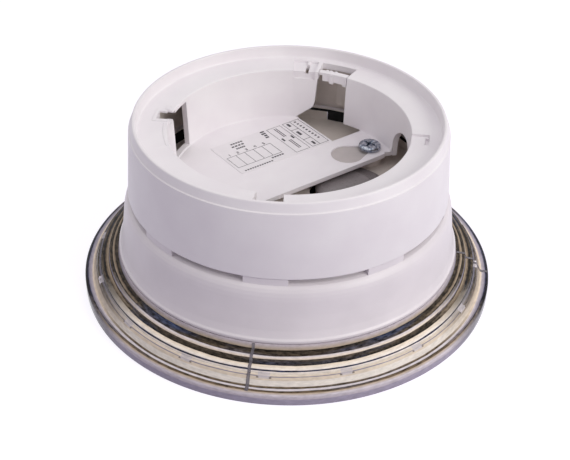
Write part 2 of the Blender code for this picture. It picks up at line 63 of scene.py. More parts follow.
def startMaterial(name, sockets):
    mat = bpy.data.materials.new(name)
    mat.use_nodes = True
    tree = mat.node_tree
    tree.nodes.clear()
    shader = addNode(tree, "ShaderNodeBsdfPrincipled", sockets)
    addNode(tree, "ShaderNodeOutputMaterial", {"Surface": shader})
    spot = addNode(tree, "ShaderNodeTexCoord").outputs["Object"]
    return mat, tree, shader, spot


# A finish with two tones in soft patches, a grain in its gloss and its bump,
# and, where edge is given, corners that catch the light as if broken by the mould. Sizes are in mm.
def grainedFinish(name, tones, patch, rough, grain, depth, edge=0.0, stretch=(1, 1, 1), **sockets):
    mat, tree, shader, spot = startMaterial(name, sockets)
    place = addNode(tree, "ShaderNodeMapping", {"Scale": stretch, "Vector": spot})
    cloud = addNode(tree, "ShaderNodeTexNoise", {"Scale": 1 / (patch * mm), "Detail": 3.0, "Vector": place})
    spread = addNode(tree, "ShaderNodeMapRange", {0: cloud, 1: 0.35, 2: 0.65})
    first, second = [hexToLinear(code) for code in tones]
    tone = addNode(tree, "ShaderNodeMix", {"data_type": "RGBA", 0: spread, 6: first, 7: second})
    grit = addNode(tree, "ShaderNodeTexNoise", {"Scale": 1 / (grain * mm), "Detail": 2.0, "Vector": place})
    gloss = addNode(tree, "ShaderNodeMapRange", {0: grit, 1: 0.3, 2: 0.7, 3: rough[0], 4: rough[1]})
    bump = addNode(tree, "ShaderNodeBump", {"Strength": 0.6, "Distance": depth * mm, "Height": grit})
    if edge:
        corner = addNode(tree, "ShaderNodeBevel", {"samples": 4, "Radius": edge * mm})
        tree.links.new(corner.outputs[0], bump.inputs["Normal"])
    tree.links.new(tone.outputs[2], shader.inputs["Base Color"])
    tree.links.new(gloss.outputs[0], shader.inputs["Roughness"])
    tree.links.new(bump.outputs[0], shader.inputs["Normal"])
    return mat


# White ABS, moulded in a spark-eroded tool: an even satin skin. The real grit is about 0.1 mm,
# drawn at 0.5 mm so that it shows.
mouldedAbs = grainedFinish("mouldedWhiteAbs", ("#F3EEF2", "#EFE9EE"), 14, (0.36, 0.46), 0.5, 0.012, 0.3, IOR=1.53)
# The lower housing is a moulding of its own, in the same ABS; its tone is set a shade greyer
lowerAbs = grainedFinish("lowerWhiteAbs", ("#E9E2E7", "#E4DDE2"), 14, (0.32, 0.42), 0.5, 0.012, 0.3, IOR=1.53)
# The same ABS at the floors of the keyhole pockets: dull, as where the tool is left coarse, and painted greyer as
# shade
coarsePaintedShadeAbs = grainedFinish("coarseWhiteAbsPaintedShade", ("#C4BBBA", "#BDB5B4"), 5, (0.6, 0.7), 0.6, 0.03, IOR=1.53)
# The same ABS inside the housing, painted warmer and darker as shade, with the warmth of light that has come through
# the walls
innerPaintedShadeAbs = grainedFinish("innerWhiteAbsPaintedShade", ("#E6DCD5", "#DDD3CC"), 9, (0.5, 0.6), 0.6, 0.02, IOR=1.53)
# Grey ABS, smoother than the white: a soft highlight on a dull ground, its grey darkened as painted shade for the
# dim space under the floor
greyPaintedShadeAbs = grainedFinish("mouldedGreyAbsPaintedShade", ("#857D7E", "#787172"), 9, (0.26, 0.36), 0.5, 0.012, 0.25, IOR=1.53)
# Polyester label film, printed in one colour: a little smoother than the moulding round it
labelFilm = grainedFinish("polyesterLabelFilm", ("#EEE9ED", "#EAE5E9"), 9, (0.3, 0.38), 0.6, 0.006, IOR=1.6)
# Screen ink: matt, slightly thin, so never a full black
screenInk = grainedFinish("screenInk", ("#3A363C", "#524E55"), 1.2, (0.5, 0.65), 0.3, 0.004, IOR=1.5)
# Bright zinc plate with blue passivation: a cold mirror, deep blue where it turns from the light
blueZinc = grainedFinish("blueZincSteel", ("#C8CCD4", "#5A6478"), 1.1, (0.14, 0.28), 0.35, 0.012, 0.12, Metallic=1.0)
# Plain zinc and tin on small steel parts: a grey shine with no clear mirror, the tin a little warm
plainZinc = grainedFinish("plainZincSteel", ("#B9BCC2", "#A6AAB2"), 2, (0.28, 0.42), 0.4, 0.01, Metallic=1.0)
clampSteel = grainedFinish("tinnedSteel", ("#C8C2B2", "#B4AE9F"), 2, (0.3, 0.45), 0.4, 0.008, Metallic=1.0)
# Rolled brass: warm, with a soft shine
brassSheet = grainedFinish("brassSheet", ("#D9B566", "#C9A152"), 3, (0.22, 0.34), 0.4, 0.006, Metallic=1.0)
# Solder: bright tin, brown where the flux has dried
solderTin = grainedFinish("solderTin", ("#B8B4AE", "#8C7A62"), 0.8, (0.2, 0.4), 0.3, 0.01, Metallic=1.0)
# Moulded black nylon, rubber and woven gauze: dull, with a rubbed lighter bloom
blackNylon = grainedFinish("blackNylon", ("#2B2B2E", "#37373B"), 8, (0.45, 0.6), 0.5, 0.02, 0.2, IOR=1.53)
blackRubber = grainedFinish("blackRubber", ("#1E1E20", "#29292B"), 6, (0.7, 0.85), 0.6, 0.03, IOR=1.52)
blackGauze = grainedFinish("blackPolyesterGauze", ("#0C0C0D", "#161617"), 0.5, (0.85, 0.95), 0.4, 0.06, IOR=1.45)
# Glass laminate: the weave of about 0.5 mm shows through the resin as a fine mottle
creamLaminate = grainedFinish("creamGlassLaminate", ("#E6D8BC", "#D8C8A8"), 1.1, (0.4, 0.55), 0.5, 0.01, IOR=1.55)
greenLaminate = grainedFinish("greenGlassLaminate", ("#1F5A33", "#2A6B3D"), 1.1, (0.3, 0.42), 0.5, 0.01, IOR=1.55)
# Moulded epoxy of the components: near black and dull
epoxyBlack = grainedFinish("componentEpoxy", ("#1C1C1E", "#28282A"), 2, (0.45, 0.6), 0.3, 0.012, 0.1, IOR=1.55)
# Shrunk vinyl sleeve: dark blue with a little shine
sleeveBlue = grainedFinish("capacitorSleeve", ("#1C2740", "#24304C"), 4, (0.3, 0.42), 0.5, 0.01, IOR=1.54)
# Fired ceramic: chalky and warm
ceramicDisc = grainedFinish("firedCeramic", ("#D6D1C6", "#C9C3B6"), 2, (0.55, 0.7), 0.4, 0.01, IOR=1.7)
# Nylon and PBT, coloured right through: satin, with edges that catch the light
terminalNylon = grainedFinish("greenNylon", ("#1E6B4A", "#257A55"), 5, (0.4, 0.52), 0.5, 0.014, 0.15, IOR=1.53)
switchPbt = grainedFinish("redPbt", ("#9E2A2A", "#8C2424"), 4, (0.4, 0.5), 0.4, 0.012, 0.12, IOR=1.55)
leverNylon = grainedFinish("whiteNylon", ("#EDEBE6", "#E2DFD9"), 3, (0.38, 0.48), 0.4, 0.01, 0.1, IOR=1.53)
# Vinyl ribbon: grey, its cores drawn as long streaks
ribbonVinyl = grainedFinish("greyVinylRibbon", ("#8C8A88", "#757371"), 1.3, (0.45, 0.6), 0.5, 0.02,
                            stretch=(1, 6, 1), IOR=1.54)
# The LEDs: a white reflecting body, and yellow gel that fills its cup
ledWhite = grainedFinish("ledReflectorNylon", ("#F1EEE6", "#E6E2D6"), 1, (0.3, 0.4), 0.3, 0.006, IOR=1.53)
ledPhosphor = grainedFinish("ledPhosphorGel", ("#E2C65A", "#D8B848"), 0.6, (0.2, 0.3), 0.3, 0.006, IOR=1.5)

print("materials:", len(bpy.data.materials))


def ringPoints(r, count, start=0.0, stop=360.0, at=(0.0, 0.0)):
    whole = abs(stop - start) >= 360.0
    step = math.radians(stop - start) / count
    first = math.radians(start)
    return [(at[0] + r * math.cos(first + step * k), at[1] + r * math.sin(first + step * k))
            for k in range(count if whole else count + 1)]


def roundedPath(corners, steps=4):
    path = []
    total = len(corners)
    for i, (x, y, radius) in enumerate(corners):
        here = Vector((x, y))
        if radius <= 0:
            path.append((x, y))
            continue
        toBefore = Vector(corners[i - 1][:2]) - here
        toAfter = Vector(corners[(i + 1) % total][:2]) - here
        half = toBefore.angle(toAfter) / 2
        reach = min(radius / math.tan(half), toBefore.length * 0.48, toAfter.length * 0.48)
        first = here + toBefore.normalized() * reach
        last = here + toAfter.normalized() * reach
        for k in range(steps + 1):
            t = k / steps
            p = first * (1 - t) ** 2 + here * (2 * t * (1 - t)) + last * t * t
            path.append((p.x, p.y))
    return path


def turnedSolid(profile, count, at=(0.0, 0.0), seam=0.0):
    verts, rows, faces = [], [], []
    for r, z in profile:
        if r < 1e-6:
            rows.append([len(verts)])
            verts.append((at[0], at[1], z))
        else:
            rows.append(list(range(len(verts), len(verts) + count)))
            verts += [(x, y, z) for x, y in ringPoints(r, count, seam, seam + 360, at)]
    for i, low in enumerate(rows):
        high = rows[(i + 1) % len(rows)]
        if len(low) == 1 and len(high) == 1:
            continue
        for k in range(count):
            m = (k + 1) % count
            if len(low) == 1:
                faces.append((low[0], high[m], high[k]))
            elif len(high) == 1:
                faces.append((low[k], low[m], high[0]))
            else:
                faces.append((low[k], low[m], high[m], high[k]))
    return verts, faces


# A closed profile turned through part of a circle only
def turnedPiece(profile, start, stop, steps):
    rows = []
    verts = []
    for k in range(steps + 1):
        a = math.radians(start + (stop - start) * k / steps)
        rows.append(range(len(verts), len(verts) + len(profile)))
        verts += [(r * math.cos(a), r * math.sin(a), z) for r, z in profile]
    n = len(profile)
    faces = [tuple(rows[0]), tuple(rows[-1])[::-1]]
    for low, high in zip(rows, rows[1:]):
        faces += [(low[i], low[(i + 1) % n], high[(i + 1) % n], high[i]) for i in range(n)]
    return verts, faces


def slab(outline, low, high):
    n = len(outline)
    verts = [(x, y, low) for x, y in outline] + [(x, y, high) for x, y in outline]
    faces = [tuple(range(n))[::-1], tuple(range(n, 2 * n))]
    faces += [(k, (k + 1) % n, n + (k + 1) % n, n + k) for k in range(n)]
    return verts, faces


def block(x0, y0, x1, y1, low, high):
    return slab([(x0, y0), (x1, y0), (x1, y1), (x0, y1)], low, high)


def arcSlab(inner, outer, start, stop, low, high, steps=10):
    edge = ringPoints(outer, steps, start, stop) + ringPoints(inner, steps, start, stop)[::-1]
    return slab(edge, low, high)


def moved(solid, angle=0.0, dx=0.0, dy=0.0, dz=0.0):
    c, s = math.cos(math.radians(angle)), math.sin(math.radians(angle))
    return [(x * c - y * s + dx, x * s + y * c + dy, z + dz) for x, y, z in solid[0]], solid[1]


def standing(solid):
    return [(x, z, y) for x, y, z in solid[0]], solid[1]


def buildMesh(name, solids):
    bm = bmesh.new()
    for verts, faces in solids:
        made = [bm.verts.new((x * mm, y * mm, z * mm)) for x, y, z in verts]
        for face in faces:
            bm.faces.new([made[i] for i in face])
    bmesh.ops.recalc_face_normals(bm, faces=bm.faces)
    mesh = bpy.data.meshes.new(name)
    bm.to_mesh(mesh)
    bm.free()
    thing = bpy.data.objects.new(name, mesh)
    bpy.context.scene.collection.objects.link(thing)
    return thing


# Each step is (operation, solids); the tools are gone again once their step is in the mesh
def carve(thing, steps):
    for operation, solids in steps:
        tool = buildMesh("tool", solids)
        step = thing.modifiers.new("step", "BOOLEAN")
        step.operation = operation
        step.solver = "EXACT"
        step.object = tool
        result = bpy.data.meshes.new_from_object(thing.evaluated_get(bpy.context.evaluated_depsgraph_get()))
        thing.modifiers.clear()
        spent, thing.data = thing.data, result
        bpy.data.meshes.remove(spent)
        bpy.data.objects.remove(tool, do_unlink=True)


def finishPiece(thing, finishes, body, stoodFor=(), sharp=32):
    thing.data.materials.clear()
    for finish in finishes:
        thing.data.materials.append(finish)
    thing.data.shade_smooth()
    thing.data.set_sharp_from_angle(angle=math.radians(sharp))
    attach(thing, body)
    if stoodFor:
        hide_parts(*stoodFor)
    return thing


def polar(r, angle):
    return r * math.cos(math.radians(angle)), r * math.sin(math.radians(angle))


# Round pegs or bores: each row is radius, sides, low and high, repeated at all the spots of its kind
def pegs(rows, spots):
    return [slab(ringPoints(r, sides, at=spot), low, high)
            for kind, (r, sides, low, high) in rows.items() for spot in spots[kind]]


# The two fixing screws pass through both housings, and the sounder speaks through both floors
fixingSpots = [(35.6, -2.2), (-35.6, 2.2)]
soundSpot = (16.0, -13.0)

# Upper housing: one turned shell, then the floor, the windows, the notches and the arch are cut.
# Rows of arcs are inner radius, outer radius, start angle, stop angle, low, high and steps round the arc.
# Windows leave out the radii, and notches the high end, which is past the top of the ledge.
# The tools that cut the wall reach from wallIn to wallOut, and those that cut the floor from floorLow to floorPast.
upper = {
    "count": 240, "seam": 0.61,
    "floorZ": 41.2, "floorUnder": 39.5, "ledgeZ": 61.0, "ledgePast": 62.0,
    "wellR": 42.4, "floorR": 41.5, "wallIn": 40.5, "wallOut": 45.4, "floorLow": 38.5, "floorPast": 42.2,
    "outside": [(53.0, 61.0, 0.7), (53.2, 65.5, 0.5), (54.4, 65.5, 0.55), (55.3, 62.25, 0.35), (55.72, 62.1, 0.4),
                (57.28, 37.8, 0.45), (54.9, 37.8, 0.2), (53.3, 58.6, 0.6), (44.4, 58.6, 0.5), (43.5, 39.5, 0.3)],
    "cutR": 42.0, "chordY": -8.7, "cutX": 27.3, "cutY": 9.5, "sill": 41.6,
    "keyAt": (26.0, -1.0), "keyR": 6.0, "tipR": 2.6, "tipAt": 7.0, "keyDeep": 0.6, "screwHole": 2.15,
    "windows": [(23.6, 38.8, 38.0, 58.2), (115.9, 131.2, 41.6, 59.3),
                (205.9, 223.6, 41.6, 58.5), (295.9, 313.6, 41.6, 58.5)],
    "slope": [(-4.3, 41.4), (5.0, 41.4), (5.0, 58.0), (3.45, 58.0), (2.69, 48.2), (2.35, 47.0), (1.9, 46.0)],
    "slopeTurn": -46, "slopeOut": 45.8,
    "archTurn": -116.4, "archHalf": 10.0, "archSpring": 45.0, "archRise": 8.0, "archIn": 37.5,
    "thinGrow": 1.7, "thinIn": 43.0,
    "notches": [(40.5, 50.1, 23.35, 38.9, 57.4), (40.5, 50.3, 40.8, 51.8, 60.3), (44.3, 47.0, 131.7, 138.3, 57.6),
                (40.5, 47.0, 219.4, 231.4, 57.6), (40.5, 48.5, 310.4, 318.6, 60.3)],
    "deeper": [(40.5, 42.95, 40.8, 51.8, 57.6, 62.0, 10), (47.2, 48.55, 311.0, 316.9, 59.6, 62.0, 6)],
    "rim": [(48.3, 8, 129.9, 140.4), (42.75, 2, 140.4, 138.35), (47.0, 6, 138.35, 131.65),
            (42.75, 2, 131.65, 129.9)], "rimZ": (60.7, 61.1),
    "boss": (43.9, 45.6, 126.4, 129.6, 60.7, 61.16, 4), "bevel": (42.8, 43.9, 141.2, 162.0, 60.7, 61.1, 16),
    "slitRib": (47.7, 50.6, 44.4, 45.6, 60.0, 60.9, 2), "windowPad": (52.7, 54.9, 21.5, 33.2, 42.5, 57.8, 10),
    "thinned": [(40.5, 48.0, 127.9, 131.9, 57.6, 60.35, 6), (40.5, 44.45, 130.6, 138.2, 58.4, 62.0, 6)],
    "slits": [(42.0, 47.8, 44.2, 45.8, 59.4, 62.0, 3), (43.4, 47.7, 44.3, 45.7, 57.6, 62.0, 3)],
    "insideR": (44.7, 55.2), "insideZ": (39.5, 58.7),
}


# The half floor ends at a chord in front and at a corner behind, and has two tear-drop pockets
def floorTools():
    u = upper
    chordEnd = math.degrees(math.asin(u["chordY"] / u["cutR"]))
    segment = ringPoints(u["cutR"], 90, 180 - chordEnd, 360 + chordEnd)
    cornerLow = math.degrees(math.asin(u["cutY"] / u["wallOut"]))
    cornerHigh = math.degrees(math.acos(u["cutX"] / u["wallOut"]))
    backCut = [(u["cutX"], u["cutY"])] + ringPoints(u["wallOut"], 24, cornerLow, cornerHigh)
    (keyX, keyY), (screwX, screwY) = u["keyAt"], fixingSpots[0]
    along = math.degrees(math.atan2(screwY - keyY, screwX - keyX))
    flank = math.degrees(math.acos((u["keyR"] - u["tipR"]) / u["tipAt"]))
    keyhole = ringPoints(u["keyR"], 60, flank, 360 - flank)
    keyhole += ringPoints(u["tipR"], 20, -flank, flank, (u["tipAt"], 0))
    pocket = moved(slab(keyhole, u["floorZ"] - u["keyDeep"], u["floorPast"]), along, *u["keyAt"])
    return [slab(segment, u["floorLow"], u["floorPast"]), slab(backCut, u["floorLow"], u["sill"]),
            pocket, moved(pocket, 180)]


# The opening of the arch, then the wider hollow that thins the wall from behind round it
def archTools():
    u = upper
    tools = []
    for grow, start in ((0, u["archIn"]), (u["thinGrow"], u["thinIn"])):
        half, rise = u["archHalf"] + grow, u["archRise"] + grow
        arch = [(-half, u["floorLow"]), (half, u["floorLow"])]
        for a in range(0, 181, 6):
            x, z = polar(1, a)
            arch.append((half * x, u["archSpring"] + rise * z))
        tools.append(moved(standing(slab(arch, start, u["wallOut"])), u["archTurn"]))
    return tools


def makeUpperHousing():
    u = upper
    profile = [(0, u["floorZ"], 0), (u["floorR"], u["floorZ"], 0.7), (u["wellR"], u["ledgeZ"], 0.45)]
    profile += u["outside"] + [(0, u["floorUnder"], 0)]
    shell = buildMesh("upperHousing", [turnedSolid(roundedPath(profile), u["count"], seam=u["seam"])])
    shank = slab(ringPoints(u["screwHole"], 32, at=fixingSpots[0]), u["floorLow"], u["floorPast"])
    windows = [arcSlab(u["wallIn"], u["wallOut"], *row) for row in u["windows"]]
    # The slope runs from the corner of the floor up to the edge of the window, which leans a little
    slope = moved(standing(slab(u["slope"], u["wallIn"], u["slopeOut"])), u["slopeTurn"])
    opening, hollow = archTools()
    notches = [arcSlab(*row, u["ledgePast"]) for row in u["notches"]]
    deeper = [arcSlab(*row) for row in u["deeper"]]
    # A low rim round the left notch, a boss, the bevel beside it, the rib behind the slit, a pad in the window
    rim = [point for r, count, start, stop in u["rim"] for point in ringPoints(r, count, start, stop)]
    pads = [slab(rim, *u["rimZ"])] + [arcSlab(*u[name]) for name in ("boss", "bevel", "slitRib", "windowPad")]
    steps = [("DIFFERENCE", floorTools()), ("DIFFERENCE", [shank, moved(shank, 180)]), ("DIFFERENCE", windows),
             ("DIFFERENCE", [slope]), ("DIFFERENCE", notches + [opening]), ("DIFFERENCE", deeper + [hollow]),
             ("UNION", pads)]
    # The ledge is thin beside the left notch, which narrows where it runs out through the wall
    steps += [("DIFFERENCE", [arcSlab(*row)]) for row in u["thinned"] + u["slits"]]
    carve(shell, steps)
    finishPiece(shell, [mouldedAbs, coarsePaintedShadeAbs, innerPaintedShadeAbs], "base", ["upper_housing"])
    # Painted shade: the floors of the keyhole pockets take the grey coarse ABS
    for face in shell.data.polygons:
        out, up = math.hypot(face.center.x, face.center.y) / mm, face.center.z / mm
        if abs(up - u["floorZ"] + u["keyDeep"]) < 0.05 and face.normal.z > 0.9:
            face.material_index = 1
        # Painted shade: the faces inside the outer wall take the warm, darker inner ABS
        elif u["insideR"][0] < out < u["insideR"][1] and u["insideZ"][0] < up < u["insideZ"][1]:
            face.material_index = 2
    return shell


upperHousing = makeUpperHousing()
print("upper housing:", len(upperHousing.data.polygons), "faces")

# Lower housing: neck with the sound slots, deck, rounded shoulder, flared skirt. Lands close the neck
# between the slots. Posts under the deck take the base plate, the main board and the fixing screws.
lower = {
    "count": 240, "seam": 0.61, "deckZ": 35.4, "neckIn": 52.4, "neckR": 54.4, "neckTop": 40.4,
    "outside": [(54.4, 35.5, 0.3), (55.7, 35.4, 0.4), (56.9, 35.1, 0.3), (57.85, 34.3, 0.6), (58.45, 33.2, 0.7),
                (58.85, 31.8, 0.9), (59.12, 30.2, 1.0), (59.35, 28.2, 1.0), (59.7, 24.9, 2.0), (60.55, 19.2, 2.5),
                (61.2, 16.5, 0.7), (61.8, 15.9, 0.3), (61.8, 14.8, 0.3)],
    "inside": [(59.4, 14.8, 0.2), (57.8, 20.8, 2.0), (56.4, 29.9, 2.0), (54.1, 32.8, 0.6), (50.4, 33.2, 0.5),
               (0, 33.2, 0)],
    "slotR": (51.4, 55.0), "slotZ": (35.6, 39.6),
    "lands": (-176.4, -133.7, -91.5, -47.0, -1.0, 44.5, 91.0, 137.5), "landHalf": 7.5, "landR": (53.7, 56.9),
    "landZ": (33.9, 37.7),
    "postR": 44.0, "postFrom": 20, "boardPostR": 44.9, "boardPosts": (-32.3, 80.5, 160.0),
    "bosses": {"post": (3.5, 32, 3.5, 34.2), "board": (3.0, 32, 25.9, 34.2), "fixing": (4.55, 40, 29.1, 38.6)},
    "bores": {"fixing": (2.25, 32, 30.2, 39.9), "post": (1.8, 24, 2.5, 14.5), "board": (1.5, 24, 24.6, 32.1)},
    "hatch": (-36, -32, -12, -10.8), "hornR": 13.0, "deckCut": (32.2, 36.4),
}


def makeLowerHousing():
    d = lower
    profile = [(0, d["deckZ"], 0), (d["neckIn"], d["deckZ"], 0.4), (d["neckIn"], d["neckTop"], 0.3),
               (d["neckR"], d["neckTop"], 0.3)]
    profile = roundedPath(profile + d["outside"] + d["inside"])
    shell = buildMesh("lowerHousing", [turnedSolid(profile, d["count"], seam=d["seam"])])
    spots = {"post": ringPoints(d["postR"], 3, d["postFrom"], d["postFrom"] + 360),
             "board": [polar(d["boardPostR"], angle) for angle in d["boardPosts"]], "fixing": fixingSpots}
    holes = [block(*d["hatch"], *d["deckCut"]), slab(ringPoints(d["hornR"], 64, at=soundSpot), *d["deckCut"])]
    half = d["landHalf"]
    lands = [arcSlab(*d["landR"], mid - half, mid + half, *d["landZ"], 12) for mid in d["lands"]]
    slots = []
    for here, after in zip(d["lands"], d["lands"][1:] + (d["lands"][0] + 360,)):
        mid, gap = (here + after) / 2, (after - here) / 2 - half
        slots.append(arcSlab(*d["slotR"], mid - gap, mid + gap, *d["slotZ"], 16))
    carve(shell, [("UNION", pegs(d["bosses"], spots)), ("UNION", lands),
                  ("DIFFERENCE", holes + pegs(d["bores"], spots)), ("DIFFERENCE", slots)])
    finishPiece(shell, [lowerAbs, innerPaintedShadeAbs], "base", ["lower_housing"])
    # Painted shade: the deck and the inside of the neck take the warm, darker inner ABS
    for face in shell.data.polygons:
        out, up = math.hypot(face.center.x, face.center.y) / mm, face.center.z / mm
        if out < d["neckIn"] + 0.1 and d["deckZ"] - 0.1 < up < d["neckTop"]:
            face.material_index = 1
    return shell


# Gauze behind the sound slots: one band, tall at each slot
gauze = {"inner": 51.7, "outer": 52.1, "low": 35.75, "high": 40.0, "count": 180, "seam": 0.37,
         "gapR": (51, 53), "gapZ": (35, 39.2), "gapHalf": 8.1}


def makeGauze():
    g = gauze
    profile = [(g["inner"], g["low"]), (g["outer"], g["low"]), (g["outer"], g["high"]), (g["inner"], g["high"])]
    band = buildMesh("soundGauze", [turnedSolid(profile, g["count"], seam=g["seam"])])
    gaps = [arcSlab(*g["gapR"], mid - g["gapHalf"], mid + g["gapHalf"], *g["gapZ"], 8) for mid in lower["lands"]]
    carve(band, [("DIFFERENCE", gaps)])
    finishPiece(band, [blackGauze], "base", ["sound_gauze"])


lowerHousing = makeLowerHousing()
makeGauze()
print("lower housing:", len(lowerHousing.data.polygons), "faces")

# Sounder cover: a low turned dome with a step, seen through the open half of the well floor
cover = {
    "count": 96, "slot": (10.95, 16.5, 122, 212, 35, 39),
    "profile": [(0, 38.3, 0), (9.0, 38.3, 0.6), (10.2, 37.9, 0.5), (10.85, 37.3, 0.3), (14.4, 37.0, 0.8),
                (15.5, 36.3, 0.4), (15.5, 35.7, 0.1), (9.9, 35.7, 0.1), (8.7, 37.3, 0.2), (0, 37.3, 0)],
}


def makeSounderCover():
    dome = buildMesh("sounderCover", [turnedSolid(roundedPath(cover["profile"]), cover["count"], soundSpot)])
    carve(dome, [("DIFFERENCE", [moved(arcSlab(*cover["slot"]), 0, *soundSpot)])])
    # The cover's grey is darkened as painted shade
    finishPiece(dome, [greyPaintedShadeAbs], "base", ["sounder_cover"])


makeSounderCover()
print("sounder cover done")

# LED board under the lens, with solder at and between the LEDs. Each LED is a cupped body with a bead of gel.
ledBoard = {
    "inner": 48.5, "outer": 69.2, "low": 2.5, "high": 4.1, "round": 0.15,
    "mid": 66.3, "first": -177.4, "count": 16,
    "chip": (1.4, 1.75), "chipRound": 0.25, "chipZ": (0.15, 1.35), "cupR": 1.1, "cupZ": (1.0, 2),
    "bead": [(0, 1.22), (0.7, 1.2), (1.1, 1.1), (1.1, 1.0), (0, 1.0)],
    "solder": [(0.9, 14, 0.0, 2.3, 0.12), (0.55, 12, 1.6, 5.4, 0.35)],
}


def makeLedBoard():
    b = ledBoard
    mid, face = b["mid"], b["high"]
    edge = [(b["inner"], b["low"]), (b["outer"], b["low"]), (b["outer"], face), (b["inner"], face)]
    profile = roundedPath([(r, z, b["round"]) for r, z in edge], 2)
    board = buildMesh("ledBoard", [turnedSolid(profile, 200)])
    finishPiece(board, [creamLaminate], "base", ["led_board"])
    wide, long = b["chip"]
    corners = [(mid - wide, -long), (mid + wide, -long), (mid + wide, long), (mid - wide, long)]
    outline = roundedPath([(x, y, b["chipRound"]) for x, y in corners], 3)
    body = slab(outline, *[face + z for z in b["chipZ"]])
    cup = slab(ringPoints(b["cupR"], 24, at=(mid, 0)), *[face + z for z in b["cupZ"]])
    bead = turnedSolid([(r, face + z) for r, z in b["bead"]], 20, (mid, 0))
    pads = []
    for k in range(b["count"]):
        number = str(k + 1)
        angle = b["first"] + 360 / b["count"] * k
        for side in (-1, 1):
            for r, sides, out, aside, thick in b["solder"]:
                spot = ringPoints(r, sides, at=(mid + out, side * aside))
                pads.append(moved(slab(spot, face, face + thick), angle))
        chip = buildMesh("ledChip_" + number, [moved(body, angle)])
        carve(chip, [("DIFFERENCE", [moved(cup, angle)])])
        finishPiece(chip, [ledWhite], "base", ["led_" + number])
        gel = buildMesh("ledGel_" + number, [moved(bead, angle)])
        finishPiece(gel, [ledPhosphor], "base")
    padPiece = buildMesh("ledSolderPads", pads)
    finishPiece(padPiece, [solderTin], "base")


# Lens ring: stepped clear shell. What lies behind it is painted on as bands that run round it:
# painted light where a step passes the light on, painted shade where a step looks into the dark inside.
# A band's place is its distance along the outside, taken as radius less height.
# The facing bands lie where the ring looks across the line at turn, and the aside bands where it looks along it;
# the aside bands are darker: painted shade and painted dark reflection.
# Flow, fleck and patch are how fast a pattern changes round the ring, and its size in mm.
lens = {
    "count": 300, "seam": 0.61, "turn": -36.6,
    "outer": [(61.9, 14.5, 0.1), (62.39, 12.52, 0.12), (65.63, 12.12, 0.3), (66.12, 10.34, 0.12), (68.69, 9.95, 0.3),
              (69.18, 8.21, 0.12), (70.17, 8.02, 0.3), (71.89, 4.85, 0.12), (72.62, 4.65, 0.1), (74.2, 4.6, 0.5),
              (75.0, 4.2, 0.6)],
    "foot": [(75.0, 0, 0.25), (73.2, 0, 0.1), (73.2, 2.6, 0.1), (70.6, 2.6, 0.1)],
    "inner": [(70.2, 3.15, 0.1), (68.48, 6.32, 0.1), (67.49, 6.51, 0.1), (66.96, 8.25, 0.1), (64.39, 8.64, 0.1),
              (63.93, 10.42, 0.1), (60.69, 10.82, 0.1), (59.8, 12.9, 0.1), (59.8, 14.5, 0.1)],
    "ribs": (-136.5, -42.0, 48.0), "ribHalf": 0.45, "ribOut": 0.12, "ribIn": 0.5, "ribSteps": 10,
    # The tones are painted: pale ones for light passed on, dark ones for painted shade, blue for painted reflection
    "tones": {"mist": "#C8BEC6", "sand": "#BBA892", "soot": "#1E1A17", "umber": "#4A4034", "cream": "#F0DFCC",
              "milk": "#F9F0E8", "navy": "#26263A", "slate": "#9590A2", "cocoa": "#6A5A4A", "pearl": "#DAD2D8",
              "ink": "#101018", "haze": "#ACA4B6", "blue": "#34405E"},
    "flow": (0.006, 1.1), "fleck": (0.025, 0.8), "patch": (0.012, 6.6),
    "sway": 0.14, "soft": 0.12, "lean": (0.74, 0.95), "clearFrom": (60.0, 60.6), "clearTo": (66.2, 66.7),
    "bandR": 69.8,
    # Painted marks: each LED's image through the lens, a pale patch and a dark dot
    "marks": [{"gap": 0.0, "halfGap": 2.0, "along": 61.7, "halfAlong": 1.5, "tone": "pearl", "share": 0.75},
              {"gap": 2.1, "halfGap": 0.4, "along": 62.7, "halfAlong": 0.35, "tone": "umber", "share": 0.7}],
    "facing": [(47.4, 49.5, "mist", "sand"), (49.6, 52.6, "soot", "umber"), (52.7, 54.2, "pearl", "cream"),
               (54.3, 56.9, "umber", "soot"), (57.0, 59.1, "cream", "milk"), (59.25, 59.85, "navy", "navy"),
               (60.0, 61.9, "milk", "cream"), (62.05, 62.3, "slate", "slate"), (62.45, 63.8, "cream", "cream"),
               (64.0, 66.4, "milk", "milk"), (66.7, 67.5, "cocoa", "umber"), (67.6, 68.4, "pearl", "pearl"),
               (68.5, 69.4, "umber", "cocoa"), (69.6, 70.6, "sand", "mist"), (70.8, 72.3, "pearl", "mist"),
               (72.5, 75.0, "haze", "haze")],
    "aside": [(47.4, 49.6, "mist", "slate"), (49.8, 51.2, "umber", "soot"), (51.3, 52.0, "cocoa", "sand"),
              (52.2, 53.6, "soot", "umber"), (53.8, 54.6, "slate", "slate"), (54.8, 55.7, "umber", "cocoa"),
              (55.8, 56.8, "sand", "cocoa"), (57.0, 57.8, "soot", "soot"), (58.0, 60.5, "umber", "soot"),
              (60.9, 61.8, "slate", "umber"), (61.9, 63.9, "umber", "cocoa"), (64.2, 67.6, "sand", "cream"),
              (67.8, 69.0, "mist", "slate"), (69.2, 69.5, "navy", "navy"), (69.6, 75.0, "ink", "ink")],
}


def bandRamp(tree, bands, source):
    made = addNode(tree, "ShaderNodeValToRGB", {0: source})
    first, last = bands[0][0], bands[-1][1]
    stops = [(at, tone) for low, high, start, stop in bands for at, tone in ((low, start), (high, stop))]
    while len(made.color_ramp.elements) < len(stops):
        made.color_ramp.elements.new(0.5)
    for element, (at, tone) in zip(made.color_ramp.elements, stops):
        element.position = (at - first) / (last - first)
        element.color = hexToLinear(lens["tones"][tone])
    return made.outputs[0]


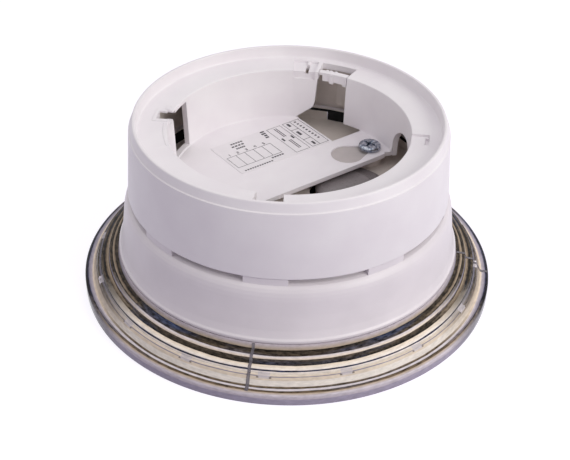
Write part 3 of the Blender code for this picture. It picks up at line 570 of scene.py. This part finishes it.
# Distance round the ring from the nearest LED
def ledGap(tree, turn):
    pitch = 2 * math.pi / ledBoard["count"]
    width = pitch * lens["bandR"] * mm
    start = 0.5 - math.radians(ledBoard["first"]) / pitch
    cell = addNode(tree, "ShaderNodeMath", {"operation": "MULTIPLY_ADD", 0: turn, 1: 1 / pitch, 2: start})
    cell = addNode(tree, "ShaderNodeMath", {"operation": "FRACT", 0: cell})
    gap = addNode(tree, "ShaderNodeMath", {"operation": "MULTIPLY_ADD", 0: cell, 1: width, 2: -width / 2})
    return addNode(tree, "ShaderNodeMath", {"operation": "ABSOLUTE", 0: gap})


# A mark is a small painted patch at each LED, placed round the ring and along the outside: the LED's image through
# the lens
def markTone(tree, tone, mark, gap, along):
    mask = mark["share"]
    for source, mid, half in ((gap, mark["gap"], mark["halfGap"]), (along, mark["along"], mark["halfAlong"])):
        low, high = (half - lens["soft"]) * mm, (half + lens["soft"]) * mm
        off = addNode(tree, "ShaderNodeMath", {"operation": "SUBTRACT", 0: source, 1: mid * mm})
        off = addNode(tree, "ShaderNodeMath", {"operation": "ABSOLUTE", 0: off})
        within = addNode(tree, "ShaderNodeMapRange", {0: off, 1: low, 2: high, 3: 1.0, 4: 0.0})
        mask = addNode(tree, "ShaderNodeMath", {"operation": "MULTIPLY", 0: within, 1: mask})
    shown = hexToLinear(lens["tones"][mark["tone"]])
    return addNode(tree, "ShaderNodeMix", {"data_type": "RGBA", 0: mask, 6: tone, 7: shown}).outputs[2]


# Polycarbonate, moulded clear and polished, with what shows through it painted on as light and shade. The flow of
# the melt leaves faint streaks round the ring, drawn about 1 mm wide, and the facets behind the dark bands break up
# what shows there into flecks, painted on as glints, some of them painted blue reflections.
# The pale band over the LEDs lets the most through.
def lensFinish(name, **sockets):
    mat, tree, shader, spot = startMaterial(name, sockets)
    x, y, z = addNode(tree, "ShaderNodeSeparateXYZ", {0: spot}).outputs
    turn = addNode(tree, "ShaderNodeMath", {"operation": "ARCTAN2", 0: y, 1: x})
    planar = addNode(tree, "ShaderNodeCombineXYZ", {0: x, 1: y, 2: 0.0})
    out = addNode(tree, "ShaderNodeVectorMath", {"operation": "LENGTH", 0: planar}).outputs["Value"]
    noises = []
    for pull, size in (lens["flow"], lens["fleck"], lens["patch"]):
        slow = addNode(tree, "ShaderNodeMath", {"operation": "MULTIPLY", 0: turn, 1: pull})
        wound = addNode(tree, "ShaderNodeCombineXYZ", {0: slow, 1: out, 2: z})
        scale = 1 / (size * mm)
        noises.append(addNode(tree, "ShaderNodeTexNoise", {"Scale": scale, "Detail": 4.0, "Vector": wound}))
    flow, flecks, patches = noises
    wide = lens["sway"] * mm
    sway = addNode(tree, "ShaderNodeMapRange", {0: flow, 1: 0.3, 2: 0.7, 3: -wide, 4: wide})
    along = addNode(tree, "ShaderNodeMath", {"operation": "SUBTRACT", 0: out, 1: z})
    along = addNode(tree, "ShaderNodeMath", {"operation": "ADD", 0: along, 1: sway})
    first, last = lens["facing"][0][0] * mm, lens["facing"][-1][1] * mm
    place = addNode(tree, "ShaderNodeMapRange", {0: along, 1: first, 2: last})
    # Painted light and shade: the facing and aside bands, the aside ones darker where the ring turns along the line
    # at turn
    facing, aside = [bandRamp(tree, lens[side], place) for side in ("facing", "aside")]
    axis = (*polar(1, lens["turn"]), 0)
    way = addNode(tree, "ShaderNodeVectorMath", {"operation": "NORMALIZE", 0: planar})
    lean = addNode(tree, "ShaderNodeVectorMath", {"operation": "DOT_PRODUCT", 0: way, 1: axis}).outputs["Value"]
    lean = addNode(tree, "ShaderNodeMath", {"operation": "ABSOLUTE", 0: lean})
    lean = addNode(tree, "ShaderNodeMapRange", {0: lean, 1: lens["lean"][0], 2: lens["lean"][1]})
    tone = addNode(tree, "ShaderNodeMix", {"data_type": "RGBA", 0: lean, 6: facing, 7: aside}).outputs[2]
    level = addNode(tree, "ShaderNodeRGBToBW", {0: tone})
    dark = addNode(tree, "ShaderNodeMapRange", {0: level, 1: 0.03, 2: 0.2, 3: 1.0, 4: 0.1})
    # Painted blue reflections in the dark bands
    blue = addNode(tree, "ShaderNodeMapRange", {0: patches, 1: 0.54, 2: 0.7, 3: 0.0, 4: 0.65})
    blue = addNode(tree, "ShaderNodeMath", {"operation": "MULTIPLY", 0: blue, 1: dark})
    shine = hexToLinear(lens["tones"]["blue"])
    tone = addNode(tree, "ShaderNodeMix", {"data_type": "RGBA", 0: blue, 6: tone, 7: shine}).outputs[2]
    # Painted image of each LED through the lens
    for mark in lens["marks"]:
        tone = markTone(tree, tone, mark, ledGap(tree, turn), along)
    # Painted glints: flecks that lighten and darken the dark bands
    shade = addNode(tree, "ShaderNodeMapRange", {0: flecks, 1: 0.32, 2: 0.7, 3: -0.75, 4: 1.7})
    shade = addNode(tree, "ShaderNodeMath", {"operation": "MULTIPLY_ADD", 0: shade, 1: dark, 2: 1.0})
    tone = addNode(tree, "ShaderNodeVectorMath", {"operation": "SCALE", 0: tone, "Scale": shade})
    gloss = addNode(tree, "ShaderNodeMapRange", {0: flow, 1: 0.3, 2: 0.7, 3: 0.06, 4: 0.16})
    (low, full), (fade, gone) = lens["clearFrom"], lens["clearTo"]
    start = addNode(tree, "ShaderNodeMapRange", {0: along, 1: low * mm, 2: full * mm, 3: 0.02, 4: 0.2})
    stop = addNode(tree, "ShaderNodeMapRange", {0: along, 1: fade * mm, 2: gone * mm, 3: 1.0, 4: 0.08})
    clear = addNode(tree, "ShaderNodeMath", {"operation": "MULTIPLY", 0: start, 1: stop})
    tree.links.new(tone.outputs[0], shader.inputs["Base Color"])
    tree.links.new(gloss.outputs[0], shader.inputs["Roughness"])
    tree.links.new(clear.outputs[0], shader.inputs["Transmission Weight"])
    return mat


bandedLens = lensFinish("polycarbonatePaintedBands", IOR=1.585, **{"Specular IOR Level": 0.07})
# The inside of the lens: clear, with a faint waviness
innerLens = grainedFinish("innerPolycarbonate", ("#F3EFEA", "#E9E5EA"), 3, (0.03, 0.08), 0.8, 0.004, IOR=1.585,
                          **{"Transmission Weight": 1.0})
# The cross ribs of the lens: half clear, painted grey as the shade they make in the lens
ribLens = grainedFinish("ribPolycarbonatePaintedShade", ("#9A949C", "#86808A"), 1.5, (0.1, 0.2), 0.6, 0.006, IOR=1.585,
                        **{"Transmission Weight": 0.55})


def makeLens():
    profile = roundedPath(lens["outer"] + lens["foot"] + lens["inner"], 3)
    ring = buildMesh("lensRing", [turnedSolid(profile, lens["count"], seam=lens["seam"])])
    finishPiece(ring, [bandedLens, innerLens], "base", ["lens_ring"], 40)
    for face in ring.data.polygons:
        r = math.hypot(face.center.x, face.center.y)
        outward = (face.normal.x * face.center.x + face.normal.y * face.center.y) / r
        if outward < 0.03 and face.normal.z < 0.5:
            face.material_index = 1
    steps = [(r, z) for r, z, bend in lens["outer"][:lens["ribSteps"]]]
    strip = [(r + lens["ribOut"], z + lens["ribOut"]) for r, z in steps]
    strip += [(r - lens["ribIn"], z - lens["ribIn"]) for r, z in steps[::-1]]
    half = lens["ribHalf"]
    ribs = buildMesh("lensRibs", [turnedPiece(strip, a - half, a + half, 3) for a in lens["ribs"]])
    finishPiece(ribs, [ribLens], "base")
    return ring


lensRing = makeLens()
print("lens ring:", len(lensRing.data.polygons), "faces")
makeLedBoard()
print("LED board done")

# Fixing screws: low pan heads with a deep cross recess, and a thread below.
# The head's outline is in shares of its radius and height.
screw = {
    "seat": 41.5, "headR": 4.1, "headH": 1.7, "count": 64,
    "head": [(0, 1), (0.45, 0.99), (0.74, 0.95), (0.88, 0.87), (0.95, 0.74), (0.99, 0.55), (1, 0.4), (1, 0.06),
             (0.97, 0)],
    "shank": 1.95, "length": 11.0, "pitch": 1.4, "thread": 0.35, "plain": 1.2,
    "tip": 1.6, "tipR": 1.15, "tipH": 0.2,
    "turn": 20, "arm": 2.7, "blade": 0.55, "flare": 1.8, "recess": (0.25, 0.4), "taper": 0.5,
}


def makeScrew(number, spot):
    s = screw
    z, top, point = s["seat"], s["seat"] + s["headH"], s["seat"] - s["length"]
    profile = [(s["headR"] * across, z + s["headH"] * up) for across, up in s["head"]] + [(s["shank"], z)]
    step = z - s["plain"]
    while step > point + s["tip"]:
        profile += [(s["shank"] - s["thread"], step), (s["shank"], step - s["pitch"] / 2)]
        step -= s["pitch"]
    profile += [(s["tipR"], point + s["tipH"]), (0, point)]
    body = buildMesh("fixingScrew_" + number, [turnedSolid(profile, s["count"], spot)])
    arm, blade, flare = s["arm"], s["blade"], s["blade"] * s["flare"]
    cross = [(-arm, -blade), (-flare, -blade), (-blade, -flare), (-blade, -arm), (blade, -arm), (blade, -flare),
             (flare, -blade), (arm, -blade)]
    cross += [(-x, -y) for x, y in cross]
    verts, faces = slab(cross, z + s["recess"][0], top + s["recess"][1])
    tapered = [(x * s["taper"], y * s["taper"], q) if q < top else (x, y, q) for x, y, q in verts]
    carve(body, [("DIFFERENCE", [moved((tapered, faces), s["turn"], *spot)])])
    finishPiece(body, [blueZinc], "base", ["fixing_screw_" + number], 28)


for k, spot in enumerate(fixingSpots):
    makeScrew(str(k + 1), spot)
print("fixing screws done")

# Detent bar: a springy strip over the window, deeper over most of its length, with bumps behind and below
detent = {
    "strip": (42.5, 44.9, 23.7, 38.6, 59.9, 60.85, 16), "deep": (42.52, 44.0, 23.75, 36.8, 57.5, 60.75, 14),
    "lumps": [(42.15, 43.9, 31.0, 33.0, 56.95, 60.25, 4), (42.54, 43.9, 23.77, 26.0, 56.8, 60.25, 4)],
    "pips": (35.0, 33.2, 30.6), "pipAt": 44.7, "pipR": 0.62, "pipZ": (60.0, 60.97),
}


def makeDetentBar():
    bar = buildMesh("detentBar", [arcSlab(*detent["strip"])])
    lumps = [arcSlab(*row) for row in detent["lumps"]]
    for angle in detent["pips"]:
        pip = ringPoints(detent["pipR"], 16, at=polar(detent["pipAt"], angle))
        lumps.append(slab(pip, *detent["pipZ"]))
    carve(bar, [("UNION", [arcSlab(*detent["deep"])]), ("UNION", lumps)])
    finishPiece(bar, [mouldedAbs], "detent_bar", ["detent_bar"])


makeDetentBar()
print("detent bar done")

# Label: film on the floor, printed with five plain boxes, numerals, two small tables and rows of dashes.
# A bar is x and y of two corners. A run is a bar, the step from each to the next, and their number.
label = {
    "x": (-13.4, 26.6), "y": (9.7, 30.6), "z": (41.22, 41.36), "corner": 0.8,
    "ink": 0.03, "layer": 0.0004, "line": 0.16, "fine": 0.112,
    "boxFrom": -12.3, "boxPitch": 3.84, "boxes": 5, "boxY": (13.7, 21.4),
    "digitAt": (1.6, 0.7), "digit": 0.55, "digitLine": 0.22,
    "runs": [((-11.4, 10.5, -10.7, 11.1), (1.05, 0), 12), ((1.6, 12.1, 2.4, 12.8), (1.1, 0), 5)],
    "rows": [(-5.8, -0.4, 28.2, 5), (-6.4, -0.8, 26.4, 4), (-5.6, -1.6, 24.6, 5)], "dash": 0.72, "dashH": 0.75,
    "heading": [(8.0, 25.0, 9.4, 25.8), (8.3, 26.4, 9.6, 27.2), (8.0, 27.8, 9.8, 28.6), (8.3, 29.2, 10.0, 30.0)],
    "tables": [
        {"frame": (11.3, 10.4, 17.5, 29.8),
         "bars": [(14.0, 12.6, 14.3, 19.2), (14.8, 12.6, 15.1, 19.2), (14.0, 22.0, 14.3, 28.8),
                  (14.8, 22.0, 15.1, 28.8), (12.2, 19.4, 12.9, 21.4), (16.3, 19.2, 17.0, 21.4)]},
        {"frame": (18.7, 10.4, 26.2, 29.9),
         "bars": [(22.1, 10.4, 22.25, 29.9), (18.7, 16.2, 22.2, 16.35), (18.7, 24.0, 22.2, 24.15),
                  (19.8, 19.6, 20.8, 22.4), (20.2, 11.4, 21.1, 13.6), (20.0, 26.8, 21.0, 29.0)]},
    ],
    "column": ((23.5, 28.2, 24.3, 28.9), (0.08, -1.75), 9),
    "strokes": {"top": (0, 2, 1, 2), "mid": (0, 1, 1, 1), "base": (0, 0, 1, 0), "upLeft": (0, 1, 0, 2),
                "upRight": (1, 1, 1, 2), "lowLeft": (0, 0, 0, 1), "lowRight": (1, 0, 1, 1)},
    "digits": [("upRight", "lowRight"), ("top", "upRight", "mid", "lowLeft", "base"),
               ("top", "upRight", "mid", "lowRight", "base"), ("upLeft", "upRight", "mid", "lowRight"),
               ("top", "upLeft", "mid", "lowRight", "base")],
}


def frameBars(x0, y0, x1, y1, w):
    return [(x0, y0, x1, y0 + w), (x0, y1 - w, x1, y1), (x0, y0, x0 + w, y1), (x1 - w, y0, x1, y1)]


# A numeral is made of short strokes in a cell one unit wide and two high
def numeralBars(strokes, x, y):
    unit, half = label["digit"], label["digitLine"] / 2
    cells = [label["strokes"][name] for name in strokes]
    return [(x + x0 * unit - half, y + y0 * unit - half, x + x1 * unit + half, y + y1 * unit + half)
            for x0, y0, x1, y1 in cells]


def runBars(bar, step, count):
    x0, y0, x1, y1 = bar
    return [(x0 + step[0] * k, y0 + step[1] * k, x1 + step[0] * k, y1 + step[1] * k) for k in range(count)]


def printBars():
    bars = []
    low, high = label["boxY"]
    for k in range(label["boxes"]):
        left = label["boxFrom"] + label["boxPitch"] * k
        bars += frameBars(left, low, left + label["boxPitch"] + label["line"], high, label["line"])
        bars += numeralBars(label["digits"][k], left + label["digitAt"][0], high + label["digitAt"][1])
    for run in label["runs"]:
        bars += runBars(*run)
    for left, right, y, count in label["rows"]:
        pitch = (right - left) / count
        bars += runBars((left, y, left + pitch * label["dash"], y + label["dashH"]), (pitch, 0), count)
    bars += label["heading"]
    for table in label["tables"]:
        bars += frameBars(*table["frame"], label["fine"]) + table["bars"]
    return bars + runBars(*label["column"])


def makeLabel():
    (x0, x1), (y0, y1), top = label["x"], label["y"], label["z"][1]
    edge = roundedPath([(x, y, label["corner"]) for x, y in ((x0, y0), (x1, y0), (x1, y1), (x0, y1))], 4)
    film = buildMesh("settingsLabel", [slab(edge, *label["z"])])
    finishPiece(film, [labelFilm], "base", ["settings_label"])
    # Each bar is a hair thicker than the one before, so that no two tops lie in one plane
    ink = buildMesh("labelPrint", [block(*bar, top, top + label["ink"] + label["layer"] * i)
                                   for i, bar in enumerate(printBars())])
    finishPiece(ink, [screenInk], "base")


makeLabel()
print("label done")

# The rest of the nodes keep their own shape
finishByNode = {
    "lens_gasket": blackRubber, "base_plate": blackNylon, "cable_grommet": blackRubber, "base_screw": plainZinc,
    "led_lead": ribbonVinyl, "main_board": greenLaminate, "board_screw": plainZinc, "microcontroller": epoxyBlack,
    "storage_capacitor": sleeveBlue, "inductor": epoxyBlack, "sounder_body": blackNylon,
    "sounding_disc": brassSheet, "sounder_ceramic": ceramicDisc, "terminal_block": terminalNylon,
    "wire_clamp": clampSteel, "terminal_screw": plainZinc, "tone_switch_body": switchPbt, "tone_lever": leverNylon,
}
for name, thing in nodes.items():
    finish = next((f for start, f in finishByNode.items() if name.startswith(start)), mouldedAbs)
    thing.data.materials.clear()
    thing.data.materials.append(finish)
print("carried nodes dressed")

# Floor, world, light and camera. The part's X axis is 36.6 degrees off the picture's width.
stageSet = {
    "turn": -36.6, "floorHalf": 4.0, "floorDrop": -0.05, "floorTone": "#A098B0", "floorRough": 0.9, "lift": 0.8,
    "horizon": 0.32, "zenith": 0.84, "sky": (1.0, 0.985, 1.0, 1.0), "aim": (0, 0, 0.035),
}


# Rays that show the stage itself, straight or by way of a mirror or a clear piece: these see it white
def seenDirectly(tree):
    path = addNode(tree, "ShaderNodeLightPath").outputs
    camera, glossy, through = path["Is Camera Ray"], path["Is Glossy Ray"], path["Is Transmission Ray"]
    seen = addNode(tree, "ShaderNodeMath", {"operation": "MAXIMUM", 0: camera, 1: glossy})
    return addNode(tree, "ShaderNodeMath", {"operation": "MAXIMUM", 0: seen, 1: through})


def makeFloor():
    h, z = stageSet["floorHalf"] / mm, stageSet["floorDrop"]
    floor = buildMesh("floor", [([(-h, -h, z), (h, -h, z), (h, h, z), (-h, h, z)], [(0, 1, 2, 3)])])
    mat, tree, shader, spot = startMaterial("paleStudioFloor", {
        "Roughness": stageSet["floorRough"], "Base Color": hexToLinear(stageSet["floorTone"]),
        "Emission Color": (1, 1, 1, 1)})
    lift = addNode(tree, "ShaderNodeMath", {"operation": "MULTIPLY", 0: seenDirectly(tree), 1: stageSet["lift"]})
    tree.links.new(lift.outputs[0], shader.inputs["Emission Strength"])
    floor.data.materials.append(mat)


def makeWorld():
    world = bpy.data.worlds.new("studio")
    world.use_nodes = True
    tree = world.node_tree
    tree.nodes.clear()
    way = addNode(tree, "ShaderNodeTexCoord").outputs["Generated"]
    rise = addNode(tree, "ShaderNodeSeparateXYZ", {0: way}).outputs[2]
    dome = addNode(tree, "ShaderNodeMapRange", {0: rise, 3: stageSet["horizon"], 4: stageSet["zenith"]})
    level = addNode(tree, "ShaderNodeMix", {0: seenDirectly(tree), 2: dome, 3: 1.0})
    sky = addNode(tree, "ShaderNodeBackground", {"Color": stageSet["sky"], "Strength": level})
    addNode(tree, "ShaderNodeOutputWorld", {"Surface": sky})
    bpy.context.scene.world = world


# One broad soft lamp, from the right of the camera
keyLight = {"side": 58, "up": 28, "far": 0.9, "size": 0.6, "power": 3.55, "tint": (1.0, 1.0, 0.935)}


def makeLight():
    lamp = bpy.data.lights.new("keyLight", "AREA")
    lamp.shape = "DISK"
    lamp.size = keyLight["size"]
    lamp.energy = keyLight["power"]
    lamp.color = keyLight["tint"]
    holder = bpy.data.objects.new("keyLight", lamp)
    side = math.radians(stageSet["turn"] - 90 + keyLight["side"])
    up = math.radians(keyLight["up"])
    back = Vector((math.cos(side) * math.cos(up), math.sin(side) * math.cos(up), math.sin(up)))
    holder.location = Vector(stageSet["aim"]) + back * keyLight["far"]
    holder.rotation_euler = back.to_track_quat("Z", "Y").to_euler()
    bpy.context.scene.collection.objects.link(holder)


view = {"focal": 73.896, "sensor": 36, "clip": (0.01, 50), "spot": (-211.13, -282.68, 266.81), "up": 35.3026,
        "roll": 0.968}


def makeCamera():
    data = bpy.data.cameras.new("photoCamera")
    data.lens = view["focal"]
    data.sensor_width = view["sensor"]
    data.clip_start, data.clip_end = view["clip"]
    camera = bpy.data.objects.new("photoCamera", data)
    bpy.context.scene.collection.objects.link(camera)
    camera.location = [v * mm for v in view["spot"]]
    side = math.radians(stageSet["turn"])
    up = math.radians(view["up"])
    forward = Vector((-math.sin(side) * math.cos(up), math.cos(side) * math.cos(up), -math.sin(up)))
    roll = Matrix.Rotation(math.radians(view["roll"]), 4, "Z")
    camera.rotation_euler = (forward.to_track_quat("-Z", "Y").to_matrix().to_4x4() @ roll).to_euler()
    bpy.context.scene.camera = camera


makeFloor()
makeWorld()
makeLight()
makeCamera()
bpy.context.scene.view_settings.view_transform = "Standard"
print("stage set")
